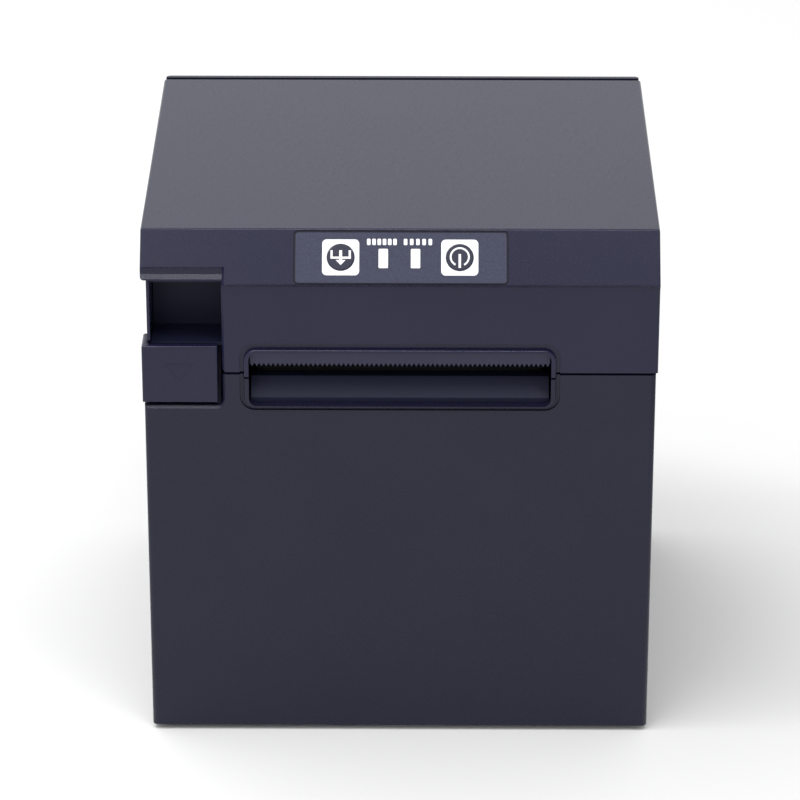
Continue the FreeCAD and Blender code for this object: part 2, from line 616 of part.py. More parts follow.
def finger_recess_liner():
    across = ("scallop_x + inset_thick + 0.1", "recess_right + 1.3")
    deep = ("front_y + 3.4", "recess_back_y - 0.1")
    tall = ("recess_low_z - 1.5", "recess_top_z - 0.4")
    right = block(("recess_right + 0.1", "recess_right + 1.3"),
                  ("front_y + wall + 0.1", "recess_back_y"), tall)
    back = block(across, ("recess_back_y - 1.3", "recess_back_y - 0.1"), tall)
    roof = block(across, deep, ("recess_top_z - 1.6", "recess_top_z - 0.4"))
    floor = block(across, deep, ("recess_low_z - 1.5", "recess_low_z - 0.6"))
    return subpart("finger_recess_liner", join(right, back, roof, floor))


def release_lever():
    """A plate that wraps the front left corner and tips forward about its lower edge."""
    front = block(("-lid_half", "lever_right"), ("front_y", "front_y + lever_thick"),
                  ("lever_low_z", "lever_top_z"))
    side = block(("-lid_half", "-lid_half + 1.3"), ("front_y", "side_open_y - 0.5"),
                 ("lever_low_z", "lever_top_z"))
    skin = rounded(join(front, side), "0.7", lambda at, edge:
                   at.y < number("front_y") + 0.01 or at.x < number("-lid_half") + 0.01
                   and at.z > number("lever_top_z") - 0.1)
    knuckles = [join(rod("X", (x, "lever_pivot_y", "lever_pivot_z"), "1.6", "2.4"),
                     block((x, f"{x} + 2.4"), ("front_y + 1", "lever_pivot_y"),
                           ("lever_pivot_z - 1.4", "lever_pivot_z + 1.6")))
                for x in ("-68", "-54.5")]
    bores = rod("X", ("-70", "lever_pivot_y", "lever_pivot_z"), "0.85", "20")
    return subpart("release_lever", cut(join(skin, release_mark(), *knuckles), bores))


def release_mark():
    """A fine raised triangle, the general sign for a flap that opens."""
    def triangle(shrink):
        return prism("Y", [(f"-65.3 + {shrink} * 1.9", f"115 - {shrink}"),
                           (f"-57.1 - {shrink} * 1.9", f"115 - {shrink}"),
                           ("-61.2", f"109.6 + {shrink} * 1.6")], "front_y - 0.1", "front_y + 0.5")
    return cut(triangle("0"), triangle("0.24"))


def lever_pin():
    return subpart("lever_pin", rod("X", ("-68.4", "lever_pivot_y", "lever_pivot_z"), "0.8", "17.2"))


def lever_bracket():
    pad = block(("-68.2", "-52"), ("lever_pivot_y + 3.4", "lever_pivot_y + 4.6"), ("97", "118.2"))
    shelf = block(("-68.6", "-53"), ("front_y + wall + 0.2", "lever_pivot_y + 6"), ("96.4", "98.4"))
    lugs = [join(rod("X", (x, "lever_pivot_y", "lever_pivot_z"), "1.6", "2"),
                 block((x, f"{x} + 2"), ("lever_pivot_y - 0.6", "lever_pivot_y + 4"),
                       ("97", "lever_pivot_z")))
            for x in ("-65.2", "-57")]
    bores = rod("X", ("-70", "lever_pivot_y", "lever_pivot_z"), "0.85", "22")
    return subpart("lever_bracket", cut(join(pad, shelf, *lugs), bores))


# ---------------------------------------------------------------- paper bucket and sensors

def paper_bucket():
    across = "2 * bucket_half + 2 * bucket_wall"
    start = "-bucket_half - bucket_wall"
    shell = rod("X", (start, "roll_y", "roll_z"), "bucket_rad + bucket_wall", across)
    below = overlap(shell, block(("-60", "60"), ("-60", "80"), ("0", "roll_z")))
    upper = block((start, "bucket_half + bucket_wall"),
                  ("roll_y", "roll_y + bucket_rad + bucket_wall"),
                  ("roll_z - 1", "bucket_top_z"))
    hollow = rod("X", ("-bucket_half", "roll_y", "roll_z"), "bucket_rad", "2 * bucket_half")
    mouth = block(("-bucket_half", "bucket_half"), ("roll_y - bucket_rad", "roll_y + bucket_rad"),
                  ("roll_z", "bucket_top_z + 1"))
    flange = block(("-bucket_half - 8", "bucket_half + 8"), ("roll_y + 2", "roll_y + bucket_rad + 1.2"),
                   ("bucket_top_z - 2", "bucket_top_z"))
    window = rod("X", ("bucket_half - 1", "roll_y + 20", "roll_z - 14"), "2.6", "4")
    legs = [block((x, f"{x} + 3"), (y, f"{y} + 3"), ("13", "roll_z - 20"))
            for x in ("-bucket_half - bucket_wall", "bucket_half + bucket_wall - 3")
            for y in ("-12", "44")]
    return subpart("paper_bucket", cut(join(below, upper, flange, *legs), hollow, mouth, window))


def near_end_sensor():
    box = block(("bucket_half + bucket_wall + 0.2", "bucket_half + bucket_wall + 7"),
                ("roll_y + 14", "roll_y + 26"), ("roll_z - 20", "roll_z - 8"))
    return subpart("near_end_sensor", box)


def paper_out_sensor():
    body = block(("8", "14"), ("-28.4", "-24.6"), ("100", "105"))
    eye = rod("Z", ("11", "-26.5", "105"), "1.1", "0.6")
    return subpart("paper_out_sensor", join(body, eye))


def lid_switch():
    body = block(("43.2", "47.8"), ("-27.2", "-22.4"), ("99.5", "105.5"))
    plunger = rod("Z", ("45.5", "-24.8", "105.5"), "0.8", "1.6")
    return subpart("lid_switch", join(body, plunger))


def spindle_ribs():
    """Two low rails in the bottom of the bucket that the roll turns on."""
    rails = [rod("X", ("-bucket_half + 0.6", f"roll_y + {offset}", "roll_z - bucket_rad + 6.5"),
                 "1.2", "2 * bucket_half - 1.2") for offset in ("-19", "19")]
    return subpart("roll_support_rods", join(*rails))


# ---------------------------------------------------------------- print mechanism

def mechanism_frame():
    deck = block(("-cheek_x", "cheek_x"), ("-50", "-27.5"), ("74", "75.2"))
    cheeks = []
    for side in (-1, 1):
        low, high = ("-cheek_x - cheek_thick", "-cheek_x") if side < 0 else (
            "cheek_x", "cheek_x + cheek_thick")
        outline = [("-60.5", "74"), ("-27.5", "74"), ("-27.5", "109"), ("-33", "116.5"),
                   ("-46", "116.5"), ("-60.5", "98")]
        cheeks.append(prism("X", outline, low, high))
    throat = prism("X", [("platen_y - 4.05", "platen_z"), ("platen_y + 4.05", "platen_z"),
                         ("platen_y + 2.5", "platen_z + 6"), ("platen_y - 6.8", "platen_z + 6")],
                   "-60", "60")
    saddle = rod("X", ("-60", "platen_y", "platen_z"), "bush_rad + 0.08", "120")
    bores = [rod("X", ("-60", y, z), r, "120") for y, z, r in (
        ("latch_y", "latch_z", "1.55"), ("idler_y", "idler_z", "1.5"))]
    motor_hole = rod("X", ("cheek_x - 1", "pinion_y", "pinion_z"), "3.4", "5")
    feet = [block((x, f"{x} + 6"), ("-48", "-30"), ("72.8", "74.2")) for x in ("-54", "48")]
    frame = cut(join(deck, *cheeks, *feet), throat, saddle, *bores, motor_hole)
    return subpart("mechanism_frame", frame)


def mechanism_stand():
    """A moulded bridge that carries the print mechanism above the board."""
    posts = [block((x, f"{x} + 5"), (y, f"{y} + 5"), ("13", "72.8"))
             for x in ("-54", "49") for y in ("-48", "-35")]
    rails = [block((x, f"{x} + 5"), ("-48", "-30"), ("69", "72.8")) for x in ("-54", "49")]
    bridge = block(("-54", "54"), ("-46", "-43"), ("66", "72.8"))
    return subpart("mechanism_stand", join(*posts, *rails, bridge))


def print_head():
    plate = block(("-platen_half - 2", "platen_half + 2"), ("-48.5", "-29"),
                  ("platen_z - 10.6", "platen_z - 7.6"))
    fins = [block(("-platen_half - 2", "platen_half + 2"), (f"{y}", f"{y} + 1.2"),
                  ("platen_z - 13", "platen_z - 10")) for y in (-34, -31.5)]
    pivots = rod("X", ("-cheek_x + 0.3", "-30.5", "platen_z - 9.1"), "1", "2 * cheek_x - 0.6")
    return subpart("print_head_plate", join(plate, *fins, pivots))


def head_ceramic():
    return subpart("print_head_ceramic", block(
        ("-platen_half", "platen_half"), ("-45", "-34"), ("platen_z - 7.6", "platen_z - 6.5")))


def head_springs():
    coils = []
    for x in ("-28", "0", "28"):
        for turn in range(4):
            ring = doc.addObject("Part::Torus", "Coil")
            ring.Radius1 = 2.2
            ring.Radius2 = 0.45
            place(ring, x, "-44.5", f"platen_z - 13.6 + {turn} * 0.75")
            coils.append(ring)
        coils.append(rod("Z", (x, "-44.5", "platen_z - 14"), "1.85", "2.9"))
    return subpart("head_springs", join(*coils))


def head_spring_plate():
    return subpart("head_spring_plate", block(
        ("-cheek_x + 0.2", "cheek_x - 0.2"), ("-48.5", "-40.5"), ("platen_z - 15.2", "platen_z - 14.2")))


# Radius of the gap between two teeth, as a share of the wheel's radius over its tooth count.
TOOTH_GAP = 1.95


def toothed_wheel(centre, radius, teeth, x, thick, bore):
    """A spur wheel whose teeth stop just short of its pitch circle, turning about X."""
    across, up = centre
    blank = rod("X", (x, across, up), f"{radius} - 0.12", thick)
    gaps = []
    for index in range(teeth):
        spin = FreeCAD.Rotation(FreeCAD.Vector(1, 0, 0), 360 / teeth * (index + 0.5))
        reach = spin.multVec(FreeCAD.Vector(0, 1, 0))
        gaps.append(rod("X", (f"{x} - 1", f"{across} + ({radius} - 0.1) * ({reach.y})",
                              f"{up} + ({radius} - 0.1) * ({reach.z})"),
                        f"{radius} * {TOOTH_GAP} / {teeth}", f"{thick} + 2"))
    return cut(blank, *gaps, rod("X", (f"{x} - 1", across, up), bore, f"{thick} + 2"))


def platen_roller():
    return subpart("platen_roller", cut(
        rod("X", ("-platen_half", "platen_y", "platen_z"), "platen_rad", "2 * platen_half"),
        rod("X", ("-platen_half - 1", "platen_y", "platen_z"), "shaft_rad", "2 * platen_half + 2")))


def platen_shaft():
    core = rod("X", ("-cheek_x - 3", "platen_y", "platen_z"), "shaft_rad", "2 * cheek_x + 3")
    journal = rod("X", ("cheek_x - 1", "platen_y", "platen_z"), "1.8", "gear_x + gear_thick - cheek_x + 2.4")
    return subpart("platen_shaft", join(core, journal))


def platen_bushings():
    pieces = [cut(rod("X", (x, "platen_y", "platen_z"), "bush_rad", "3.3"),
                  rod("X", (f"{x} - 1", "platen_y", "platen_z"), "shaft_rad + 0.05", "6"))
              for x in ("-cheek_x - 1.4", "cheek_x - 1.9")]
    return subpart("platen_bushings", join(*pieces))


def platen_gear():
    wheel = toothed_wheel(("platen_y", "platen_z"), "platen_gear_rad", 24, "gear_x + 0.3",
                          "gear_thick", "1.8")
    return subpart("platen_gear", wheel)


def idler_gear():
    wheel = toothed_wheel(("idler_y", "idler_z"), "idler_rad", 36, "gear_x + 0.3",
                          "gear_thick", "1.56")
    return subpart("idler_gear", wheel)


def idler_post():
    post = join(rod("X", ("cheek_x", "idler_y", "idler_z"), "1.5", "gear_x + gear_thick - cheek_x + 1.2"),
                rod("X", ("gear_x + gear_thick + 0.6", "idler_y", "idler_z"), "2.6", "0.8"))
    return subpart("idler_post", post)


def motor_pinion():
    return subpart("motor_pinion", toothed_wheel(("pinion_y", "pinion_z"), "pinion_rad", 12,
                                                 "gear_x + 0.3", "gear_thick", "1"))


def feed_motor():
    can = rod("X", ("cheek_x - 26", "pinion_y", "pinion_z"), "motor_rad", "25.8")
    collar = rod("X", ("cheek_x - 1", "pinion_y", "pinion_z"), "3.2", "2.6")
    shaft = rod("X", ("cheek_x", "pinion_y", "pinion_z"), "0.94", "gear_x + gear_thick - cheek_x")
    ears = block(("cheek_x - 1.6", "cheek_x - 0.2"), ("pinion_y - 4", "pinion_y + 4"),
                 ("pinion_z - 10.4", "pinion_z + 10.4"))
    return subpart("feed_motor", join(can, collar, shaft, ears))


# ---------------------------------------------------------------- cutter

def movable_blade():
    outline = [("-38", "88"), ("38", "88"), ("38", "105.4"), ("0", "103.6"), ("-38", "105.4")]
    plate = prism("Y", outline, "blade_y - blade_thick / 2", "blade_y + blade_thick / 2")
    rack = block(("-32", "-29"), ("blade_y - 0.5", "blade_y + 2.6"), ("80", "93"))
    teeth = [block(("-29.6", "-28.4"), ("blade_y - 0.1", "blade_y + 2.5"),
                   (f"80.4 + {step} * 1.6", f"81.2 + {step} * 1.6")) for step in range(8)]
    return subpart("movable_blade", join(plate, rack, *teeth))


def fixed_blade():
    return subpart("fixed_blade", block(
        ("-40", "40"), ("blade_y - 2", "blade_y - 0.8"), ("109.6", "124")))


def blade_guides():
    pieces = [block((x, f"{x} + 6"), ("blade_y - 2.6", "blade_y + 2.4"), ("84", "102"))
              for x in ("-42.6", "36.6")]
    slots = block(("-38.2", "38.2"), ("blade_y - 0.75", "blade_y + 0.75"), ("70", "120"))
    return subpart("blade_guides", cut(join(*pieces), slots))


def cutter_pinion():
    blank = rod("Y", ("-23", "blade_y + 0.9", "86"), "5.3", "1.6")
    gaps = []
    for index in range(20):
        spin = FreeCAD.Rotation(FreeCAD.Vector(0, 1, 0), 18 * index)
        reach = spin.multVec(FreeCAD.Vector(5.2, 0, 0))
        gaps.append(rod("Y", (f"-23 + ({reach.x})", "blade_y - 1", f"86 + ({reach.z})"),
                        "0.5", "5"))
    return subpart("cutter_pinion", cut(blank, *gaps, rod(
        "Y", ("-23", "blade_y", "86"), "1", "6")))


def cutter_motor():
    can = rod("Y", ("-23", "blade_y + 3.4", "86"), "7", "18")
    shaft = rod("Y", ("-23", "blade_y + 1", "86"), "0.94", "3")
    flange = block(("-31", "-15"), ("blade_y + 3.4", "blade_y + 4.6"), ("78", "94"))
    return subpart("cutter_motor", join(can, shaft, flange))


# ---------------------------------------------------------------- latch

def latch():
    plates = []
    for x in ("-cheek_x - 3.4", "cheek_x + 1.6"):
        outline = [("latch_y - 3", "latch_z - 3"), ("latch_y + 3.2", "latch_z - 3"),
                   ("-48.5", "106"), ("-44.8", "111"), ("-44.8", "117.5"),
                   ("-48.5", "117.5"), ("latch_y - 3", "latch_z + 3")]
        plates.append(prism("X", outline, x, f"{x} + 1.4"))
    shaft = rod("X", ("-cheek_x - 4", "latch_y", "latch_z"), "1.45", "2 * cheek_x + 8")
    return subpart("latch_bar", join(*plates, shaft))


# ---------------------------------------------------------------- lid inside

def lid_inner_frame():
    cheeks = []
    for x in ("-46", "44"):
        outline = [("-47", "case_high - wall"), ("-28", "case_high - wall"),
                   ("-34", "platen_z - 3.6"), ("-44", "platen_z - 3.6")]
        cheeks.append(prism("X", outline, x, f"{x} + 2"))
    blade_carrier = block(("-46", "46"), ("blade_y - 0.6", "-44.5"), ("120", "137"))
    saddle = rod("X", ("-60", "platen_y", "platen_z"), "shaft_rad + 0.08", "120")
    top = block(("-46", "46"), ("-47.1", "-28"), ("case_high - wall - 2", "case_high - wall"))
    guide = block(("-46", "46"), ("-30", "-28"), ("124", "case_high - wall"))
    hollow = block(("-42", "42"), ("blade_y + 1.2", "-46.5"), ("119", "135"))
    frame = cut(join(*cheeks, blade_carrier, top, guide), saddle, hollow)
    return subpart("lid_inner_frame", frame)


def hinge_pins():
    pins = [rod("X", (x, "hinge_y", "hinge_z"), "pin_rad - 0.05", "10")
            for x in ("-lid_half + 2.6", "lid_half - 12.6")]
    return subpart("hinge_pins", join(*pins))


# ---------------------------------------------------------------- electronics

def main_board():
    board = block(("-board_half", "board_half"), ("-48", "rim_y - 1.2"),
                  ("board_z", "board_z + board_thick"))
    holes = [rod("Z", (x, y, "5"), "1.6", "20") for x, y in BOARD_SCREWS]
    return subpart("main_board", cut(board, *holes))


def capacitors():
    return subpart("power_capacitors", join(*[
        rod("Z", (x, y, "board_z + board_thick"), "5", "14")
        for x, y in (("-50", "22"), ("-50", "10"), ("50", "14"))]))


def chips():
    return subpart("circuit_chips", join(*[
        block((f"{x} - {size} / 2", f"{x} + {size} / 2"), (f"{y} - {size} / 2", f"{y} + {size} / 2"),
              ("board_z + board_thick", "board_z + board_thick + 1.6"))
        for x, y, size in (("0", "-6", "16"), ("22", "8", "9"), ("-22", "10", "11"), ("10", "-30", "8"))]))


def socket(label, key, mouth_wide, mouth_low, mouth_high):
    x, wide, low, high = REAR_SOCKETS[key]
    shell = block((f"{x} - {wide} / 2", f"{x} + {wide} / 2"), ("rear_y - 16", "rear_y - 0.4"),
                  ("board_z + board_thick", f"{low} + {high}"))
    mouth = block((f"{x} - {mouth_wide} / 2", f"{x} + {mouth_wide} / 2"), ("rear_y - 10", "rear_y + 1"),
                  (mouth_low, mouth_high))
    return subpart(label, cut(shell, mouth))


def power_socket():
    x, wide, low, high = REAR_SOCKETS["power"]
    shell = block((f"{x} - {wide} / 2", f"{x} + {wide} / 2"), ("rear_y - 14", "rear_y - 0.4"),
                  ("board_z + board_thick", f"{low} + {high}"))
    mouth = rod("Y", (x, "rear_y - 10", "20"), "4.8", "11")
    pins = [rod("Y", (f"{x} + {dx}", "rear_y - 11", f"20 + {dz}"), "0.7", "7")
            for dx, dz in ((0, -2.4), (-2.1, 1.3), (2.1, 1.3))]
    return subpart("power_socket", join(cut(shell, mouth), *pins))


def build():
    body_shell()
    base_plate()
    rubber_feet()
    lid_shell()
    panel_overlay()
    panel_key("feed_key", "key_left")
    panel_key("power_key", "key_right")
    light_pipe("left_light_pipe", "lamp_left")
    light_pipe("right_light_pipe", "lamp_right")
    panel_board()
    tact_switches()
    status_lamps()
    tear_bar()
    exit_guide()
    finger_recess_liner()
    release_lever()
    lever_pin()
    lever_bracket()
    paper_bucket()
    near_end_sensor()
    paper_out_sensor()
    lid_switch()
    spindle_ribs()
    mechanism_frame()
    mechanism_stand()
    print_head()
    head_ceramic()
    head_springs()
    head_spring_plate()
    platen_roller()
    platen_shaft()
    platen_bushings()
    platen_gear()
    idler_gear()
    idler_post()
    motor_pinion()
    feed_motor()
    movable_blade()
    fixed_blade()
    blade_guides()
    cutter_pinion()
    cutter_motor()
    latch()
    lid_inner_frame()
    hinge_pins()
    main_board()
    capacitors()
    chips()
    power_socket()
    socket("usb_socket", "usb", "8.4", "15.6", "23")
    socket("network_socket", "lan", "11.8", "15.6", "24")
    socket("drawer_socket", "drawer", "9.8", "16", "23.6")
    screw("base_screws", [(x, y, "2.6") for x, y in BASE_SCREWS], "3", "1", "1.45", "9", up=False)
    screw("board_screws", [(x, y, "board_z + board_thick") for x, y in BOARD_SCREWS],
          "2.6", "1.2", "1.05", "5")


build()
doc.recompute()
for item in doc.Objects:
    if "Invalid" in item.State or "Error" in item.State:
        raise SystemExit(f"{item.Name} ({item.Label}) did not recompute: {item.State}")
for item in SUBPARTS:
    if item.Shape.isNull() or not item.Shape.isValid():
        raise SystemExit(f"{item.Label} has no valid shape")
    item.Shape.exportStep(f"parts/{item.Label}.step")
    print(item.Label, len(item.Shape.Solids), round(item.Shape.Volume))
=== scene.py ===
import json
import math

import bpy
from mathutils import Matrix, Vector


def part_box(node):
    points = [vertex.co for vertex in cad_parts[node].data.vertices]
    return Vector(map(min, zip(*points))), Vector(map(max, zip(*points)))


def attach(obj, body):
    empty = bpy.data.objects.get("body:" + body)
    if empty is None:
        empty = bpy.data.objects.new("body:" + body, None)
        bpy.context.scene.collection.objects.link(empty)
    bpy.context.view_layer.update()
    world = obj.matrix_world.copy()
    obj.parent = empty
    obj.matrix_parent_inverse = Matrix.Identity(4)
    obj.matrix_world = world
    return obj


# The looks of a receipt printer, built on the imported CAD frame. Metres, +Z up, front towards -Y.

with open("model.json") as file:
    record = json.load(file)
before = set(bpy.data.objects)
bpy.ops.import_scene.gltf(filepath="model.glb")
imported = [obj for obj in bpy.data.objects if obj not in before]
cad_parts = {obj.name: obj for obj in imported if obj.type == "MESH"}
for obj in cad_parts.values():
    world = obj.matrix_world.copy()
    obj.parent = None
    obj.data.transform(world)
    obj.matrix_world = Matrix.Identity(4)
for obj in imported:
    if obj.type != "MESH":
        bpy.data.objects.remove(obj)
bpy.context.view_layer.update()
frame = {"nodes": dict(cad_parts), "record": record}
NODES = frame["nodes"]

# The sloping strip under the lid's front edge. Distances on it are measured down from the fold.
STRIP_TILT = math.radians(52.7)
FOLD = Vector((0.0, -0.0559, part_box("lid_shell")[1][2]))
KEY_DOWN = 0.0081
KEY_LEFT = -0.0163
KEY_RIGHT = 0.0164
KEY_RADIUS = 0.00375
KEY_GAP = 0.0001
FRAME_HALF = 0.0051
FRAME_CORNER = 0.00125

# Heights above the plane of the strip.
FILM_TOP = -0.00015
CAP_TOP = 0.00025

# The printed film on the strip, and a painted shade line round its edge for the shade in the gap
# between film and strip.
FILM_LOW = -0.01561
FILM_HIGH = -0.0007
FILM_CORNER = 0.00107
SHADE_LINE_WIDE = 0.0003
SHADE_LINE_INSET = 0.00003

# Broken edges of the CAD pieces.
EDGE_WIDTH = 0.00012
WIDER_EDGES = {"body_shell": 0.00035, "release_lever": 0.00025}
HARD_EDGED = ("panel_overlay", "lid_shell")


# ---------------------------------------------------------------- shader helpers

def new_material(name):
    """A new material and its Principled shader."""
    material = bpy.data.materials.new(name)
    material.use_nodes = True
    shader = material.node_tree.nodes["Principled BSDF"]
    return material, shader


def add(material, kind):
    return material.node_tree.nodes.new(kind)


def link(material, source, target):
    material.node_tree.links.new(source, target)


def noise(material, scale, detail=4.0, roughness=0.6):
    """A noise value that is fixed to the object."""
    where = add(material, "ShaderNodeTexCoord")
    texture = add(material, "ShaderNodeTexNoise")
    texture.inputs["Scale"].default_value = scale
    texture.inputs["Detail"].default_value = detail
    texture.inputs["Roughness"].default_value = roughness
    link(material, where.outputs["Object"], texture.inputs["Vector"])
    return texture.outputs["Fac"]


def ramp(material, source, low, high, start=0.3, end=0.7):
    """Colours between low and high, picked by a value."""
    node = add(material, "ShaderNodeValToRGB")
    node.color_ramp.elements[0].position = start
    node.color_ramp.elements[0].color = (*low, 1.0)
    node.color_ramp.elements[1].position = end
    node.color_ramp.elements[1].color = (*high, 1.0)
    link(material, source, node.inputs["Fac"])
    return node.outputs["Color"]


def span(material, source, low, high):
    """A value stretched to lie between low and high."""
    node = add(material, "ShaderNodeMapRange")
    node.inputs["To Min"].default_value = low
    node.inputs["To Max"].default_value = high
    link(material, source, node.inputs["Value"])
    return node.outputs["Result"]


def bump(material, shader, height, strength, distance):
    """Raise the surface by a height value."""
    node = add(material, "ShaderNodeBump")
    node.inputs["Strength"].default_value = strength
    node.inputs["Distance"].default_value = distance
    link(material, height, node.inputs["Height"])
    link(material, node.outputs["Normal"], shader.inputs["Normal"])


def shade(colour, factor):
    return tuple(channel * factor for channel in colour)


# ---------------------------------------------------------------- materials

def moulded(name, colour, rough=0.42, grain=0.35, grain_scale=3200.0, shine=0.5):
    """Injection-moulded plastic: a fine spark-eroded grain and slight cloudiness."""
    material, shader = new_material(name)
    cloud = noise(material, 35.0, 3.0)
    link(material, ramp(material, cloud, shade(colour, 0.93), shade(colour, 1.08)),
         shader.inputs["Base Color"])
    fine = noise(material, grain_scale, 2.0, 0.5)
    link(material, span(material, fine, rough - 0.06, rough + 0.06), shader.inputs["Roughness"])
    bump(material, shader, fine, grain, 0.00008)
    shader.inputs["Specular IOR Level"].default_value = shine
    return material


def brushed(name, colour, rough=0.32):
    """Metal with fine marks drawn out along X."""
    material, shader = new_material(name)
    where = add(material, "ShaderNodeTexCoord")
    stretch = add(material, "ShaderNodeMapping")
    stretch.inputs["Scale"].default_value = (40.0, 2600.0, 2600.0)
    texture = add(material, "ShaderNodeTexNoise")
    texture.inputs["Scale"].default_value = 1.0
    texture.inputs["Detail"].default_value = 3.0
    link(material, where.outputs["Object"], stretch.inputs["Vector"])
    link(material, stretch.outputs["Vector"], texture.inputs["Vector"])
    marks = texture.outputs["Fac"]
    link(material, ramp(material, marks, shade(colour, 0.82), colour), shader.inputs["Base Color"])
    link(material, span(material, marks, rough - 0.08, rough + 0.1), shader.inputs["Roughness"])
    shader.inputs["Metallic"].default_value = 1.0
    bump(material, shader, marks, 0.12, 0.00005)
    return material


def rubber(name, colour):
    """Dull rubber with a dusty mottling."""
    material, shader = new_material(name)
    dust = noise(material, 900.0, 5.0)
    link(material, ramp(material, dust, colour, shade(colour, 1.5)), shader.inputs["Base Color"])
    link(material, span(material, dust, 0.72, 0.9), shader.inputs["Roughness"])
    bump(material, shader, dust, 0.3, 0.0001)
    return material


def circuit_board(name):
    """Green solder mask with lighter tracks from a cell pattern."""
    material, shader = new_material(name)
    where = add(material, "ShaderNodeTexCoord")
    cells = add(material, "ShaderNodeTexBrick")
    cells.inputs["Scale"].default_value = 160.0
    cells.inputs["Color1"].default_value = (0.012, 0.085, 0.03, 1.0)
    cells.inputs["Color2"].default_value = (0.016, 0.11, 0.04, 1.0)
    cells.inputs["Mortar"].default_value = (0.035, 0.2, 0.08, 1.0)
    cells.inputs["Mortar Size"].default_value = 0.03
    link(material, where.outputs["Object"], cells.inputs["Vector"])
    link(material, cells.outputs["Color"], shader.inputs["Base Color"])
    bump(material, shader, cells.outputs["Fac"], 0.25, 0.00005)
    shader.inputs["Roughness"].default_value = 0.28
    return material


def film(name, colour, shine=0.3):
    """A printed polyester film with a fine embossed texture."""
    material, shader = new_material(name)
    emboss = noise(material, 2600.0, 3.0, 0.6)
    link(material, ramp(material, emboss, shade(colour, 0.7), shade(colour, 1.35)),
         shader.inputs["Base Color"])
    link(material, span(material, emboss, 0.36, 0.5), shader.inputs["Roughness"])
    bump(material, shader, emboss, 0.5, 0.00006)
    shader.inputs["Specular IOR Level"].default_value = shine
    return material


CASE = (0.0094, 0.0094, 0.026)
LID = (0.0088, 0.0093, 0.032)
DARK = (0.0075, 0.0095, 0.029)

MATERIALS = {
    "case_plastic": moulded("BodyPlastic", CASE, rough=0.28, shine=0.29),
    "lid_plastic": moulded("LidPlastic", LID, rough=0.26, shine=0.32),
    "inner_plastic": moulded("Inner", DARK, rough=0.55, shine=0.25),
    "overlay_film": film("Film", (0.030, 0.033, 0.066)),
    "key_plastic": moulded("Key", (0.022, 0.023, 0.045), rough=0.4, shine=0.3),
    "lamp_plastic": moulded("Lamp", (0.86, 0.86, 0.87), rough=0.3, grain=0.1),
    "blade_steel": brushed("Blade", (0.014, 0.0145, 0.022), 0.34),
    "zinc_sheet": brushed("Zinc", (0.40, 0.41, 0.42), 0.4),
    "head_aluminium": brushed("Aluminium", (0.10, 0.105, 0.13), 0.4),
    "ceramic": moulded("Ceramic", (0.70, 0.66, 0.56), rough=0.2, grain=0.05),
    "roller_rubber": rubber("RollerRubber", (0.02, 0.02, 0.022)),
    "foot_rubber": rubber("FootRubber", (0.012, 0.012, 0.013)),
    "gear_plastic": moulded("Acetal", (0.62, 0.60, 0.53), rough=0.4, grain=0.1),
    "board_green": circuit_board("Board"),
    "component_black": moulded("Component", (0.012, 0.012, 0.014), rough=0.5),
    "spring_steel": brushed("Spring", (0.5, 0.5, 0.52), 0.25),
    "dark_steel": moulded("DarkSteel", (0.026, 0.026, 0.058), rough=0.38, grain=0.15, shine=0.3),
    "screw_steel": brushed("ScrewSteel", (0.07, 0.07, 0.075), 0.35),
}
WHITE_INK = moulded("WhiteInk", (0.82, 0.82, 0.84), rough=0.5, grain=0.1)
GREY_INK = moulded("GreyInk", (0.5, 0.5, 0.54), rough=0.5, grain=0.1)
LABEL = brushed("Label", (0.55, 0.56, 0.58), 0.45)
# Dark print for the label bars; also the painted shade line round the film's edge.
DARK_INK_AND_SHADE = moulded("DarkInkAndShade", (0.005, 0.005, 0.009), rough=0.5, grain=0.1, shine=0.2)
GOLD = brushed("Gold", (0.8, 0.56, 0.2), 0.25)


def dress_nodes():
    """Give every CAD node its material, softened edges and smooth curved faces."""
    for part in frame["record"]["subparts"]:
        item = NODES[part["node"]]
        item.data.materials.clear()
        item.data.materials.append(MATERIALS[part["material_slot"]])
        weld = item.modifiers.new("Weld", "WELD")
        weld.merge_threshold = 0.000002
        if part["node"] in HARD_EDGED:
            # The film is too thin to bevel and the lid is rounded already: hard edges stay.
            crisp = item.modifiers.new("Crisp", "EDGE_SPLIT")
            crisp.split_angle = math.radians(30)
            continue
        soften = item.modifiers.new("Soften", "BEVEL")
        soften.width = WIDER_EDGES.get(part["node"], EDGE_WIDTH)
        soften.segments = 2
        soften.limit_method = "ANGLE"
        soften.angle_limit = math.radians(38)
        soften.harden_normals = True


# ---------------------------------------------------------------- printed marks on the strip

def strip_matrix(height):
    """Places flat work on the strip: X across, Y up the slope, Z out of it."""
    turn = Matrix.Rotation(STRIP_TILT, 4, "X")
    return Matrix.Translation(FOLD) @ turn @ Matrix.Translation((0.0, 0.0, height))


def ring_points(centre, radius, start=0.0, end=360.0, steps=64):
    """Points round a circle, or along an arc that keeps both of its ends."""
    whole = abs(end - start) >= 360.0
    count = steps if whole else steps + 1
    angles = [math.radians(start + (end - start) * index / steps) for index in range(count)]
    return [(centre[0] + radius * math.cos(a), centre[1] + radius * math.sin(a)) for a in angles]


def rounded_box_points(left, right, low, high, radius, steps=8):
    """The outline of a rectangle with rounded corners."""
    corners = [((right - radius, high - radius), 0), ((left + radius, high - radius), 90),
               ((left + radius, low + radius), 180), ((right - radius, low + radius), 270)]
    points = []
    for centre, start in corners:
        points += ring_points(centre, radius, start, start + 90, steps)
    return points


